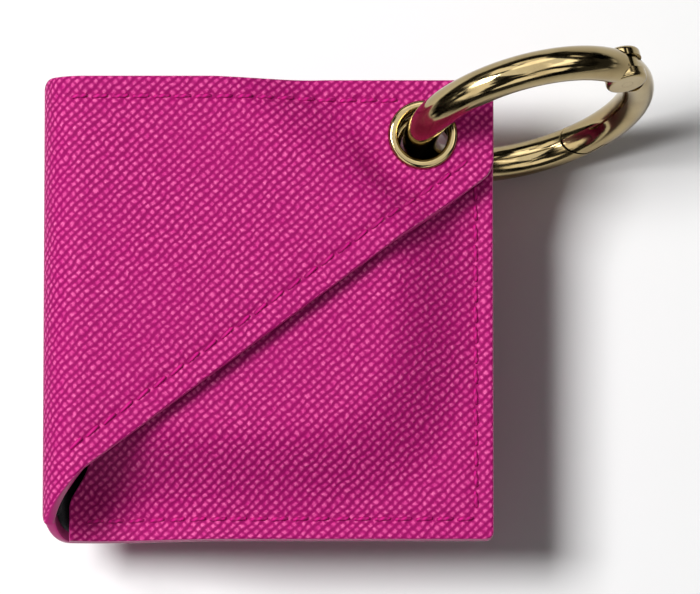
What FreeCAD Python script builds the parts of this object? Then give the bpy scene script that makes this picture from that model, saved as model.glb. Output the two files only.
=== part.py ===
import FreeCAD, Part
import math
import os

os.makedirs("parts", exist_ok=True)
V = FreeCAD.Vector

# Tracker tag holder: a folded hide pouch with a sewn pocket, a slanted flap,
# two eyelets and a gate ring through both. Millimetres. X runs to the sewn
# end, Y to the eyelet edge, Z out of the front; Z = 0 is the back's rest face.

# The pouch, cut to allowances round the tag
tag_diameter = 31.9
side_allowance = 16.1
end_allowance = 17.1
seam_allowance = 6.05
back_crown_inset = 5.95
front_crown_inset = 3.75
leather = 1.2
lining = 0.6
bond = 0.02
seam_lift = 4.0
flat_trim = 0.1
lining_inset = 1.0
corner_radius = 0.8
fold_corner_radius = 2.3
fold_radius = 4.5
mouth_setback = 0.3
mouth_ear = 1.9
mouth_curl = 0.13
ear_inset = 1.0
ear_reach = 4.0
ear_round = 2.0
rise_start = 1.0
seam_gap = 0.06
rise_length = 14.0

# The tag
tag_height = 8.0
tag_clearance = 0.2
tag_edge_radius = 3.1
tag_wall = 1.1
door_margin = 3.35
door_gap = 0.15
door_sheet = 0.5
lip_top = 2.0
tab_reach = 0.8
tab_sheet = 0.5
tab_gap = 0.1
tab_angle = 16.0
notch_angle = 20.0
cell_radius = 10.0
cell_height = 3.2
cell_gap = 0.05
cell_chamfer = 0.3
cell_step = 1.2
tray_sheet = 0.6
tray_gap = 1.6
skirt_gap = 0.4
skirt_wall = 1.0
contact_sheet = 0.25
contact_length = 3.6
contact_width = 1.2
board_inset = 0.7
board_gap = 0.08
speaker_radius = 4.6
speaker_proud = 0.1
coil_gap = 0.35
coil_wall = 0.6
coil_lift = 0.15
inner_slope = 1.0

# The flap
pocket_clearance = 0.25
flap_clearance = 0.3
flap_end_edge = 9.9
flap_corner_radius = 2.5
flap_slope = 0.735
ramp_inset = 1.65
wrap_slope = 1.0

# The eyelets
eyelet_from_side = 7.3
eyelet_from_top = 6.9
bore_radius = 2.65
eyelet_wall = 0.3
flange_radius = 3.75
flange_height = 0.5
roll_height = 0.45
washer_height = 0.25
eyelet_gap = 0.3
seat_fade = 4.2

# The gate ring
ring_inside = 20.4
wire = 3.7
ring_azimuth = 15.0
ring_lean = 15.0
hinge_angle = 28.0
gate_span = 90.0
knuckle_radius = 2.25
knuckle_round = 0.45
slot_width = 1.5
slot_radius = 2.5
tongue_clearance = 0.12
tongue_root = 0.6
tongue_angle = 18.0
pin_radius = 0.6
pin_clearance = 0.02
lap_length = 1.6
lap_gap = 0.1
tail_angle = 30.0
overrun_angle = 14.0
well_from = 9.0
well_to = 28.0
plunger_bore = 0.75
plunger_radius = 0.65
plunger_length = 1.3
plunger_start = 0.1
spring_wire = 0.25
spring_turns = 4

# Levels that follow from these
pouch_width = tag_diameter + side_allowance
pouch_height = tag_diameter + end_allowance
tag_radius = tag_diameter / 2
seam_radius = tag_radius + seam_allowance
back_crown_radius = tag_radius - back_crown_inset
front_crown_radius = tag_radius - front_crown_inset
ramp_start = tag_radius - ramp_inset
door_radius = tag_radius - door_margin
half_width = pouch_width / 2
half_height = pouch_height / 2
hide = leather + lining
tag_floor = hide + tag_clearance
tag_top = tag_floor + tag_height
pocket_crown = tag_top + pocket_clearance
flap_crown = pocket_crown + leather + flap_clearance
fold_top = flap_crown + hide
fold_x = fold_radius - half_width
mouth_x = fold_x + mouth_setback
seam_floor = seam_lift + hide
seam_top = seam_floor + leather
flap_seat = seam_top + flange_height + eyelet_gap + roll_height
ring_radius = (ring_inside + wire) / 2
wire_radius = wire / 2
through = 6 * wire
beyond = 4 * pouch_width

# Where the leaning wire crosses each eyelet
lean = math.radians(ring_lean)
turn = math.radians(ring_azimuth)
pocket_mid = (seam_lift - roll_height + seam_top + flange_height) / 2
flap_mid = (flap_seat - roll_height + flap_seat + hide + flange_height) / 2
shift = (flap_mid - pocket_mid) * math.tan(lean)
pocket_eye = (half_width - eyelet_from_side, half_height - eyelet_from_top)
flap_eye = (pocket_eye[0] - shift * math.sin(turn), pocket_eye[1] + shift * math.cos(turn))


def save(shape, name):
    shape.exportStep("parts/" + name + ".step")


def ease(value):
    t = min(max(value, 0.0), 1.0)
    return t * t * (3 - 2 * t)


def eyelet_seat(x, y, eye):
    """1 under the eyelet's flange, fading out round it."""
    near = math.hypot(x - eye[0], y - eye[1])
    return 1 - ease((near - flange_radius - tag_clearance) / seat_fade)


def seam_share(x, y, crown_radius):
    """0 over the tag and on its way to the mouth, 1 at the sewn edges and round the eyelet."""
    reach = (max(x, 0.0) ** 3 + abs(y) ** 3) ** (1 / 3)
    seam = ease((reach - crown_radius) / (seam_radius - crown_radius))
    return 1 - (1 - seam) * (1 - eyelet_seat(x, y, pocket_eye))


def edge_lift(x):
    return seam_lift * ease((x - fold_x - rise_start) / rise_length)


def back_level(x, y):
    return edge_lift(x) * seam_share(x, y, back_crown_radius)


def lining_level(x, y):
    return back_level(x, y) + leather + bond


def front_level(x, y):
    share = seam_share(x, y, front_crown_radius)
    climb = mouth_curl * min(x - fold_x - rise_start, 0.0) ** 2
    return (1 - share) * pocket_crown + share * (edge_lift(x) + hide + seam_gap + climb)


def flap_level(x, y):
    along = (x * flap_eye[0] + y * flap_eye[1]) / math.hypot(flap_eye[0], flap_eye[1])
    ramp = ease((along - ramp_start) / (seam_radius - ramp_start))
    share = 1 - (1 - ramp) * (1 - eyelet_seat(x, y, flap_eye))
    return flap_crown + (flap_seat - flap_crown) * share


def sheet(level, offset, thickness, start=fold_x):
    """A soft sheet over the whole pouch, lying at the given level."""
    columns = 30
    rows = 34
    margin = 0.3
    grid = []
    for i in range(columns + 1):
        x = start - margin + (half_width - start + 2 * margin) * i / columns
        line = []
        for j in range(rows + 1):
            y = (2 * j / rows - 1) * (half_height + margin)
            line.append(V(x, y, level(x, y) + offset))
        grid.append(line)
    surface = Part.BSplineSurface()
    surface.interpolate(grid)
    return surface.toShape().extrude(V(0, 0, thickness))


def rounded(corners):
    """Closed plan wire through (x, y, radius) corners."""
    count = len(corners)
    starts = []
    edges = []
    for i in range(count):
        before = V(corners[i - 1][0], corners[i - 1][1], 0)
        here = V(corners[i][0], corners[i][1], 0)
        after = V(corners[(i + 1) % count][0], corners[(i + 1) % count][1], 0)
        radius = corners[i][2]
        into = (before - here).normalize()
        out = (after - here).normalize()
        half = into.getAngle(out) / 2
        if radius > 0:
            cut = radius / math.tan(half)
            first = here + into * cut
            last = here + out * cut
            bisector = (into + out).normalize()
            middle = here + bisector * (radius / math.sin(half) - radius)
            starts.append((first, middle, last))
        else:
            starts.append((here, None, here))
    for i in range(count):
        first, middle, last = starts[i]
        if middle is not None:
            edges.append(Part.Arc(first, middle, last).toShape())
        following = starts[(i + 1) % count][0]
        if (following - last).Length > 1e-6:
            edges.append(Part.makeLine(last, following))
    return Part.Wire(Part.__sortEdges__(edges))


def prism(corners):
    """A plan outline as a cutter through the whole height."""
    face = Part.Face(rounded(corners))
    return face.extrude(V(0, 0, 3 * fold_top)).translated(V(0, 0, -fold_top))


def turned(points, centre, angle=360):
    """Solid of revolution about a line along Z; a point with a third value is passed on an arc."""
    edges = []
    i = 0
    while i < len(points):
        here = V(points[i][0], 0, points[i][1])
        following = points[(i + 1) % len(points)]
        if len(following) == 3:
            end = points[(i + 2) % len(points)]
            arc = Part.Arc(here, V(following[0], 0, following[1]), V(end[0], 0, end[1]))
            edges.append(arc.toShape())
            i += 2
        else:
            edges.append(Part.makeLine(here, V(following[0], 0, following[1])))
            i += 1
    face = Part.Face(Part.Wire(edges))
    solid = face.revolve(V(0, 0, 0), V(0, 0, 1), angle)
    return solid.translated(centre)


def bore(eye, radius):
    return Part.makeCylinder(radius, 3 * fold_top, V(eye[0], eye[1], -fold_top))


# Back and pocket, sewn together along three edges
top = half_height
right = half_width
panel = prism([(fold_x, -top, 0), (right, -top, corner_radius), (right, top, corner_radius),
               (fold_x, top, 0)])
inset = lining_inset
lined = prism([(fold_x, inset - top, 0), (right - inset, inset - top, corner_radius),
               (right - inset, top - inset, corner_radius), (fold_x, top - inset, 0)])
ear_x = fold_x - mouth_ear
ear_low = seam_radius - ear_inset
ear_high = front_crown_radius + ear_reach
front = prism([(ear_x, -top, corner_radius), (right, -top, corner_radius),
               (right, top, corner_radius), (ear_x, top, corner_radius),
               (ear_x, ear_low, ear_round), (mouth_x, ear_high, ear_round),
               (mouth_x, -ear_high, ear_round), (ear_x, -ear_low, ear_round)])
hole_radius = bore_radius + eyelet_wall + 2 * bond

back_leather = sheet(back_level, -flat_trim, leather + flat_trim).common(panel)
below = Part.makeBox(beyond, beyond, fold_top, V(-beyond / 2, -beyond / 2, -fold_top))
back_leather = back_leather.cut(below).cut(bore(pocket_eye, hole_radius))
save(back_leather, "back_leather")

back_lining = sheet(lining_level, 0, lining - bond).common(lined)
save(back_lining.cut(bore(pocket_eye, hole_radius)), "back_lining")

pocket_front = sheet(front_level, 0, leather, ear_x).common(front)
save(pocket_front.cut(bore(pocket_eye, hole_radius)), "pocket_front")


# The fold: one turn of hide from the back up to the flap
def fold_strip(outer, inner):
    low = fold_radius
    high = fold_top - fold_radius

    def bend(radius, centre_z, first, last):
        ends = []
        for angle in (first, (first + last) / 2, last):
            a = math.radians(angle)
            ends.append(V(fold_x + radius * math.cos(a), 0, centre_z + radius * math.sin(a)))
        return Part.Arc(ends[0], ends[1], ends[2]).toShape()

    edges = [bend(outer, low, 270, 180), bend(outer, high, 180, 90),
             bend(inner, high, 90, 180), bend(inner, low, 180, 270)]
    for radius in (outer, inner):
        edges.append(Part.makeLine(V(fold_x - radius, 0, low), V(fold_x - radius, 0, high)))
    edges.append(Part.makeLine(V(fold_x, 0, low - outer), V(fold_x, 0, low - inner)))
    edges.append(Part.makeLine(V(fold_x, 0, high + outer), V(fold_x, 0, high + inner)))
    face = Part.Face(Part.Wire(Part.__sortEdges__(edges)))
    return face.extrude(V(0, pouch_height, 0)).translated(V(0, -top, 0))


def diagonal(x):
    return top - flap_end_edge - flap_slope * (right - x)


def below_flap_edge(setback):
    """Room under the flap's slanted edge where it runs on round the upper bend."""
    start = diagonal(fold_x) + setback
    far = -beyond / 2
    points = [V(far, far, fold_top + leather), V(far, start, fold_top + leather)]
    steps = 8
    for i in range(steps + 1):
        angle = math.pi / 2 * i / steps
        y = start - wrap_slope * fold_radius * angle
        z = fold_top - fold_radius + fold_radius * math.cos(angle)
        points.append(V(far, y, z))
    points.append(V(far, -top + setback, fold_top / 2))
    points.append(V(far, far, fold_top / 2))
    points.append(points[0])
    return Part.Face(Part.makePolygon(points)).extrude(V(beyond, 0, 0))


def fold_plan(setback):
    return prism([(-right, -top + setback, fold_corner_radius), (fold_x, -top + setback, 0),
                  (fold_x, top - setback, 0), (-right, top - setback, corner_radius)])


fold_leather = fold_strip(fold_radius, fold_radius - leather).common(fold_plan(0))
save(fold_leather.cut(below_flap_edge(0)), "fold_leather")
fold_lining = fold_strip(fold_radius - leather - bond, fold_radius - hide)
fold_lining = fold_lining.common(fold_plan(lining_inset)).cut(below_flap_edge(lining_inset))
save(fold_lining, "fold_lining")


# The flap
def flap_plan(setback):
    side = right - setback
    drop = setback * math.hypot(1, flap_slope)
    return prism([(fold_x, diagonal(fold_x) + drop, 0),
                  (side, diagonal(side) + drop, flap_corner_radius),
                  (side, top - setback, corner_radius), (fold_x, top - setback, 0)])


flap_leather = sheet(flap_level, lining, leather).common(flap_plan(0))
save(flap_leather.cut(bore(flap_eye, hole_radius)), "flap_leather")
flap_lining = sheet(flap_level, 0, lining - bond).common(flap_plan(lining_inset))
save(flap_lining.cut(bore(flap_eye, hole_radius)), "flap_lining")


# Eyelets: a flanged tube rolled over a washer on the far side
def eyelet(eye, low, high):
    inner = bore_radius
    outer = bore_radius + eyelet_wall
    rim = outer + (flange_radius - outer) * 0.45
    crest = (inner + flange_radius) / 2
    roll = low - washer_height - bond
    section = [(inner, low - roll_height / 2),
               (inner + 0.12, low - roll_height + 0.05, "arc"),
               ((inner + rim) / 2, low - roll_height),
               (rim - 0.06, low - roll_height + 0.05, "arc"),
               (rim, roll), (outer, roll), (outer, high), (flange_radius, high),
               (flange_radius - 0.14, high + flange_height * 0.68, "arc"),
               (crest, high + flange_height),
               (inner + 0.13, high + flange_height * 0.75, "arc"),
               (inner, high + flange_height * 0.2)]
    return turned(section, V(eye[0], eye[1], 0))


def eyelet_washer(eye, low):
    inner = bore_radius + eyelet_wall + bond
    base = low - washer_height
    section = [(inner, low), (inner, base), (flange_radius - 0.15, base), (flange_radius, base + 0.12),
               (flange_radius, low)]
    return turned(section, V(eye[0], eye[1], 0))


pocket_low = seam_lift - flat_trim - bond
save(eyelet(pocket_eye, pocket_low, seam_top + seam_gap + bond), "pocket_eyelet")
save(eyelet_washer(pocket_eye, pocket_low), "pocket_eyelet_washer")
save(eyelet(flap_eye, flap_seat - bond, flap_seat + hide + bond), "flap_eyelet")
save(eyelet_washer(flap_eye, flap_seat - bond), "flap_eyelet_washer")


# The gate ring, made flat about its own centre and then leaned through the eyelets
def wire_arc(start, sweep):
    circle = Part.Circle(V(ring_radius, 0, 0), V(0, 1, 0), wire_radius)
    face = Part.Face(Part.Wire(circle.toShape()))
    face = face.rotated(V(0, 0, 0), V(0, 0, 1), start)
    return face.revolve(V(0, 0, 0), V(0, 0, 1), sweep)


def on_ring(angle):
    a = math.radians(angle)
    return V(ring_radius * math.cos(a), ring_radius * math.sin(a), 0)


def across(centre, radius, width):
    return Part.makeCylinder(radius, width, centre - V(0, 0, width / 2))


hinge = on_ring(hinge_angle)
nose_angle = hinge_angle - gate_span
reach = (on_ring(nose_angle) - hinge).Length
body_start = hinge_angle + 1
tail_start = 360 + nose_angle - tail_angle
body = wire_arc(body_start, tail_start - body_start)
ending = wire_arc(tail_start, tail_angle + overrun_angle)
ending = ending.cut(across(hinge, reach - lap_length + lap_gap, through))
inner_side = across(V(0, 0, 0), ring_radius + lap_gap, through)
ending = ending.cut(across(hinge, reach + lap_gap, through).common(inner_side))
knuckle = across(hinge, knuckle_radius, wire)
rims = [edge for edge in knuckle.Edges if edge.Curve.TypeId == "Part::GeomCircle"]
knuckle = knuckle.makeFillet(knuckle_round, rims)
ring_body = body.fuse(ending).fuse(knuckle).removeSplitter()
ring_body = ring_body.cut(across(hinge, slot_radius, slot_width))
ring_body = ring_body.cut(across(hinge, pin_radius + pin_clearance, through))
well_start = on_ring(hinge_angle + well_from)
well_end = on_ring(hinge_angle + well_to)
well_way = (well_end - well_start).normalize()
well_length = (well_end - well_start).Length
well = Part.makeCylinder(plunger_bore, well_length, well_start, well_way)
ring_body = ring_body.cut(well)

gate_raw = wire_arc(nose_angle - overrun_angle, gate_span + overrun_angle)
gate = gate_raw.common(across(hinge, reach - lap_length - lap_gap, through))
nose = gate_raw.common(across(hinge, reach - lap_gap, through))
nose = nose.common(across(V(0, 0, 0), ring_radius - lap_gap, through))
gate = gate.fuse(nose).cut(across(hinge, slot_radius, through))
tongue_width = slot_width - 2 * tongue_clearance
tongue = wire_arc(hinge_angle - tongue_angle, tongue_angle)
tongue = tongue.common(across(V(0, 0, 0), beyond, tongue_width))
tongue = tongue.common(across(hinge, slot_radius + tongue_root, through))
tongue = tongue.fuse(across(hinge, wire_radius, tongue_width))
gate = gate.fuse(tongue).cut(across(hinge, pin_radius + 3 * pin_clearance, through))

pin = across(hinge, pin_radius, wire)

plunger_base = well_start + well_way * plunger_start
plunger = Part.makeCylinder(plunger_radius, plunger_length, plunger_base, well_way)
spring_base = well_start + well_way * (plunger_start + plunger_length + spring_wire / 2)
spring_length = well_length - plunger_start - plunger_length - spring_wire
spring_radius = plunger_radius - spring_wire / 2


def coil_point(quarter):
    """Place and direction of the spring's wire after so many quarter turns."""
    a = math.pi / 2 * quarter
    climb = spring_length / (2 * math.pi * spring_turns)
    place = V(spring_radius * math.cos(a), spring_radius * math.sin(a), climb * a)
    way = V(-spring_radius * math.sin(a), spring_radius * math.cos(a), climb)
    return place, way.normalize()


def bent_wire(start, corner, end):
    """Length of spring wire on the arc that points at the corner from its start and its end."""
    chord_middle = (start + end) / 2
    half_chord = (end - start).Length / 2
    half_turn = math.acos(half_chord / (corner - start).Length)
    way = (corner - start).normalize()
    axis = way.cross(end - corner).normalize()
    centre = chord_middle + (chord_middle - corner).normalize() * (half_chord / math.tan(half_turn))
    section = Part.Circle(start, way, spring_wire / 2)
    face = Part.Face(Part.Wire(section.toShape()))
    return face.revolve(centre, axis, math.degrees(2 * half_turn))


def biarc(start, way_in, end, way_out):
    """Two tangent arcs of wire from one place and direction to another."""
    chord = end - start
    along = chord.dot(way_in + way_out)
    spread = 2 * (1 - way_in.dot(way_out))
    reach_out = (math.sqrt(along ** 2 + spread * chord.dot(chord)) - along) / spread
    first = start + way_in * reach_out
    second = end - way_out * reach_out
    meeting = (first + second) / 2
    return [bent_wire(start, first, meeting), bent_wire(meeting, second, end)]


turning = []
quarters = 4 * spring_turns
for i in range(quarters):
    turning += biarc(*coil_point(i), *coil_point(i + 1))
coil = turning[0].multiFuse(turning[1:])
coil.Placement = FreeCAD.Placement(spring_base, FreeCAD.Rotation(V(0, 0, 1), well_way))

ring_out = V(math.cos(turn), math.sin(turn), 0)
ring_up = V(-math.sin(turn) * math.sin(lean), math.cos(turn) * math.sin(lean), math.cos(lean))
ring_axis = ring_out.cross(ring_up)
crossing = V((pocket_eye[0] + flap_eye[0]) / 2, (pocket_eye[1] + flap_eye[1]) / 2,
             (pocket_mid + flap_mid) / 2)
stack = (flap_seat + hide + flange_height - seam_lift + roll_height) / 2
ring_centre = crossing + ring_out * (ring_radius - stack ** 2 / (2.5 * ring_radius))
seat = FreeCAD.Placement(FreeCAD.Matrix(
    ring_out.x, ring_up.x, ring_axis.x, ring_centre.x,
    ring_out.y, ring_up.y, ring_axis.y, ring_centre.y,
    ring_out.z, ring_up.z, ring_axis.z, ring_centre.z,
    0, 0, 0, 1))
for shape, name in ((ring_body, "ring_body"), (gate, "ring_gate"), (pin, "gate_pin"),
                    (plunger, "gate_plunger"), (coil, "gate_spring")):
    placed = shape.copy()
    placed.Placement = seat.multiply(shape.Placement)
    save(placed, name)


# The tag: two shallow domes meeting at a round edge
middle = tag_height / 2
edge_x = tag_radius - tag_edge_radius
dome = (edge_x ** 2 + middle ** 2 - tag_edge_radius ** 2) / (2 * (middle - tag_edge_radius))
side_x = edge_x * dome / (dome - tag_edge_radius)
at_tag = V(0, 0, tag_floor)


def dome_height(r):
    """Height of the upper face above the tag's middle."""
    return math.sqrt(dome ** 2 - r ** 2) - dome + middle


def edge_height(r):
    return math.sqrt(tag_edge_radius ** 2 - (r - edge_x) ** 2)


lip = door_radius + door_gap
inner_edge = tag_radius - tag_wall
inner_radius = edge_x - inner_slope
ceiling = tag_height - tag_wall
upper_pass = edge_x + tag_edge_radius * 0.75
lower_pass = edge_x + tag_edge_radius * 0.72
shell_section = [
    (0, tag_height), (side_x / 2, middle + dome_height(side_x / 2), "arc"),
    (side_x, middle + dome_height(side_x)),
    (upper_pass, middle + edge_height(upper_pass), "arc"), (tag_radius, middle),
    (lower_pass, middle - edge_height(lower_pass), "arc"),
    (lip, middle - tag_edge_radius), (lip, lip_top), (inner_edge - 0.9, lip_top),
    (inner_edge, middle), (inner_edge - 1.2, ceiling - 1.2),
    (inner_radius, ceiling - inner_slope), (0, ceiling)]
tag_shell = turned(shell_section, at_tag)
for i in range(3):
    notch_in = door_radius - 1
    notch_out = lip + tab_reach + 0.2
    notch = turned([(notch_in, -1), (notch_out, -1), (notch_out, lip_top + tab_gap),
                    (notch_in, lip_top + tab_gap)], at_tag, notch_angle)
    notch_start = 120 * i + tab_angle + 4 - (notch_angle - tab_angle) / 2
    notch = notch.rotated(V(0, 0, 0), V(0, 0, 1), notch_start)
    tag_shell = tag_shell.cut(notch)
save(tag_shell, "tag_shell")

rim_z = middle - dome_height(door_radius)
tab_low = lip_top + tab_gap
tab_high = tab_low + tab_sheet
door_inner = door_radius - door_sheet
door = turned([(0, 0), (door_radius / 2, middle - dome_height(door_radius / 2), "arc"),
               (door_radius, rim_z), (door_radius, tab_high), (door_inner, tab_high),
               (door_inner, rim_z + door_sheet), (0, rim_z + door_sheet)], at_tag)
for i in range(3):
    tab = turned([(door_inner, tab_low), (lip + tab_reach, tab_low),
                  (lip + tab_reach, tab_high), (door_inner, tab_high)], at_tag, tab_angle)
    door = door.fuse(tab.rotated(V(0, 0, 0), V(0, 0, 1), 120 * i))
save(door.removeSplitter(), "tag_battery_door")

cell_low = rim_z + door_sheet + cell_gap
cell_high = cell_low + cell_height
cap_edge = cell_radius - cell_step
cell = turned([(0, cell_low), (cap_edge, cell_low), (cap_edge, cell_low + cell_chamfer),
               (cell_radius, cell_low + cell_chamfer), (cell_radius, cell_high - cell_chamfer),
               (cell_radius - cell_chamfer, cell_high), (0, cell_high)], at_tag)
save(cell, "tag_coin_cell")

# Tray over the cell, with the board, the contacts and the speaker on it
tray_low = cell_high + contact_sheet
tray_high = tray_low + tray_sheet
tray_edge = inner_edge - tray_gap
tray = turned([(speaker_radius, tray_low), (tray_edge, tray_low), (tray_edge, tray_high),
               (speaker_radius, tray_high)], at_tag)
skirt_inner = cell_radius + skirt_gap
skirt_outer = skirt_inner + skirt_wall
skirt_low = tab_high + door_gap
skirt = turned([(skirt_inner, skirt_low), (skirt_outer, skirt_low), (skirt_outer, tray_low),
                (skirt_inner, tray_low)], at_tag)
save(tray.fuse(skirt).removeSplitter(), "tag_inner_frame")

contacts = []
for i in range(3):
    leaf_start = V(speaker_radius + coil_wall, -contact_width / 2, cell_high)
    leaf = Part.makeBox(contact_length, contact_width, contact_sheet, leaf_start)
    leaf = leaf.translated(at_tag).rotated(V(0, 0, 0), V(0, 0, 1), 60 + 120 * i)
    contacts.append(leaf)
save(Part.makeCompound(contacts), "tag_battery_contacts")



def ceiling_at(r):
    """Height of the shell's inner face, which falls away from the middle."""
    return ceiling - inner_slope * r / inner_radius


coil_inner = speaker_radius + coil_gap
coil_outer = coil_inner + coil_wall
board_edge = cell_radius - board_inset
board_hole = coil_outer + coil_gap + board_gap
board_high = ceiling_at(board_edge) - board_gap
board = turned([(board_hole, tray_high), (board_edge, tray_high), (board_edge, board_high),
                (board_hole, board_high)], at_tag)
save(board, "tag_board")

magnet_top = board_high + speaker_proud
magnet = turned([(0, tray_low), (speaker_radius, tray_low), (speaker_radius, magnet_top),
                 (0, magnet_top)], at_tag)
save(magnet, "tag_speaker_magnet")
coil_low = tray_high + coil_lift
voice_coil = turned([(coil_inner, coil_low), (coil_outer, coil_low),
                     (coil_outer, ceiling_at(coil_outer)), (coil_inner, ceiling_at(coil_inner))], at_tag)
save(voice_coil, "tag_speaker_coil")
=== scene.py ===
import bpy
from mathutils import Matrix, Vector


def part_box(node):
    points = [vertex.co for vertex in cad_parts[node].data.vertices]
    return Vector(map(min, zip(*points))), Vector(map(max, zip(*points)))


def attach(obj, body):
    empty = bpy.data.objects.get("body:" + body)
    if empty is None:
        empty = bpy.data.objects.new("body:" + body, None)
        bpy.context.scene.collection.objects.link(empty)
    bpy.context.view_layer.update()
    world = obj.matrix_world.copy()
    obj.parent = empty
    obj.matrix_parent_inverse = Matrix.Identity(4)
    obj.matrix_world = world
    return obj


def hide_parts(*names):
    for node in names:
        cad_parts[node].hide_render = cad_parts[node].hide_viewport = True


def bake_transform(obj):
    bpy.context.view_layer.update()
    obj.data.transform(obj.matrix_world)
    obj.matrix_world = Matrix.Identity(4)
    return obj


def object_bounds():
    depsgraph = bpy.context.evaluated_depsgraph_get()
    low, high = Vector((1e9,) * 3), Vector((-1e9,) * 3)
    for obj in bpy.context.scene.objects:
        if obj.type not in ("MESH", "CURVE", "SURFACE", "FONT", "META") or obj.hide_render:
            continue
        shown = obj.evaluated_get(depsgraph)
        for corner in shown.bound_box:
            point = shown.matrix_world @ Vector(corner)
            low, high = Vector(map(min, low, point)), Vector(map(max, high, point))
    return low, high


bl_info = {
    "name": "Tracker tag holder",
    "version": (1, 0, 0),
    "blender": (4, 5, 0),
    "location": "View3D > Sidebar > Holder",
    "description": "Dresses a folded hide pouch with a slanted flap, a gate ring and a round tag",
    "category": "Object",
}

import math
from collections import namedtuple
from contextlib import contextmanager
import bmesh
import bpy
from mathutils import Matrix, Vector

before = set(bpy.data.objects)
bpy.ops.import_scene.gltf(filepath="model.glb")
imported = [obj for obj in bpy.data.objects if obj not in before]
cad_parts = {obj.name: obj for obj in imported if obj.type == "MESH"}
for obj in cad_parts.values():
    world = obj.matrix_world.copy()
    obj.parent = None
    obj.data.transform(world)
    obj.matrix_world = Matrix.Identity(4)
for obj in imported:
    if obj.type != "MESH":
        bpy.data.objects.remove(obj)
cad_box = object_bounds()

MM = 0.001


def span(name):
    """Lowest and highest corner of a node, in millimetres."""
    low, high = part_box(name)
    return low / MM, high / MM


def middle_of(name):
    """Centre of a node in the plan, in millimetres."""
    low, high = span(name)
    return ((low.x + high.x) / 2, (low.y + high.y) / 2)


# Places read from the frame, in millimetres
back_low, back_high = span("back_leather")
fold_low, fold_high = span("fold_leather")
tag_low, tag_high = span("tag_shell")
front_low, front_high = span("pocket_front")
right = back_high.x
top = back_high.y
fold_x = back_low.x
left = fold_low.x
fold_radius = fold_x - left
fold_top = fold_high.z
pocket_eye = middle_of("pocket_eyelet")
flap_eye = middle_of("flap_eyelet")
ear_x = front_low.x
tag_radius = (tag_high.x - tag_low.x) / 2

# Forms of the sewn hide, in millimetres
LEATHER = 1.2
LINING = 0.6
BOND = 0.02
HIDE = LEATHER + LINING
FLAT_TRIM = 0.1
SEAM_GAP = 0.06
SEAM_LIFT = 4.0
SEAM_RADIUS = tag_radius + 6.05
BACK_CROWN_RADIUS = tag_radius - 5.95
FRONT_CROWN_RADIUS = tag_radius - 3.75
RISE_START = 1.0
RISE_LENGTH = 14.0
MOUTH_SETBACK = 0.3
MOUTH_CURL = 0.13
EAR_LOW = SEAM_RADIUS - 1.0
EAR_HIGH = FRONT_CROWN_RADIUS + 4.0
POCKET_CROWN = front_high.z - LEATHER
FLAP_CROWN = fold_top - HIDE
FLAP_SEAT = 8.25
FLAP_END_EDGE = 9.9
FLAP_SLOPE = 0.735
RAMP_START = tag_radius - 1.65
WRAP_SLOPE = 1.0
LINING_INSET = 1.0
CORNER_RADIUS = 0.8
FOLD_CORNER_RADIUS = 2.3
FLAP_CORNER_RADIUS = 2.5
FLANGE_RADIUS = 3.75
SEAT_MARGIN = 0.2
SEAT_FADE = 4.2
HOLE_RADIUS = 3.05
HOLE_REACH = 3.25
RIM_CATCH = 0.5
RIM_BAND = 0.3
SPLIT_BAND = 0.02
SPLIT_DEPTH = 0.1
LEVEL_BAND = 0.001
HIDE_EDGE = 0.31
LINING_EDGE = 0.18
EDGE_STEPS = 4

# The unrolled fold: half the wall, then a quarter turn
WALL = fold_top / 2 - fold_radius
BEND = WALL + fold_radius * math.pi / 2


class HolderSizes(bpy.types.PropertyGroup):
    """Sizes of the sewing and of the hide's embossing"""
    stitch_pitch: bpy.props.FloatProperty(
        name="Stitch pitch", description="From one stitch to the next",
        default=2.2 * MM, min=0.5 * MM, unit="LENGTH")
    stitch_length: bpy.props.FloatProperty(
        name="Stitch length", description="Thread that shows in one stitch",
        default=1.75 * MM, min=0.3 * MM, unit="LENGTH")
    thread_width: bpy.props.FloatProperty(
        name="Thread width", description="Diameter of the sewing thread",
        default=0.42 * MM, min=0.1 * MM, unit="LENGTH")
    grain_pitch: bpy.props.FloatProperty(
        name="Grain pitch", description="From one embossed line of the hide to the next",
        default=0.72 * MM, min=0.2 * MM, unit="LENGTH")


class HolderColours(bpy.types.PropertyGroup):
    """Colours of what shows on the outside"""
    hide: bpy.props.FloatVectorProperty(
        name="Hide", description="Colour of the embossed hide", subtype="COLOR",
        size=4, min=0, max=1, default=(0.44, 0.006, 0.164, 1))
    thread: bpy.props.FloatVectorProperty(
        name="Thread", description="Colour of the sewing thread", subtype="COLOR",
        size=4, min=0, max=1, default=(0.39, 0.006, 0.144, 1))
    lining: bpy.props.FloatVectorProperty(
        name="Lining", description="Colour of the brushed lining", subtype="COLOR",
        size=4, min=0, max=1, default=(0.017, 0.017, 0.019, 1))
    metal: bpy.props.FloatVectorProperty(
        name="Metal", description="Colour of the pale gold plating", subtype="COLOR",
        size=4, min=0, max=1, default=(0.37, 0.29, 0.15, 1))
    tag: bpy.props.FloatVectorProperty(
        name="Tag", description="Colour of the tag's shell", subtype="COLOR",
        size=4, min=0, max=1, default=(0.56, 0.56, 0.565, 1))


def sizes():
    return bpy.context.scene.holder_sizes


def colours():
    return bpy.context.scene.holder_colours


# Shaping helpers
def ease(value):
    """Smooth step from 0 to 1, level at both ends."""
    t = min(max(value, 0.0), 1.0)
    return t * t * (3 - 2 * t)


def lerp(a, b, t):
    """The value a share t of the way from a to b."""
    return a + (b - a) * t


# Levels of the hide over the plan, in millimetres
def eyelet_seat(x, y, eye):
    """1 under the eyelet's flange, fading out round it."""
    near = math.hypot(x - eye[0], y - eye[1])
    return 1 - ease((near - FLANGE_RADIUS - SEAT_MARGIN) / SEAT_FADE)


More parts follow.
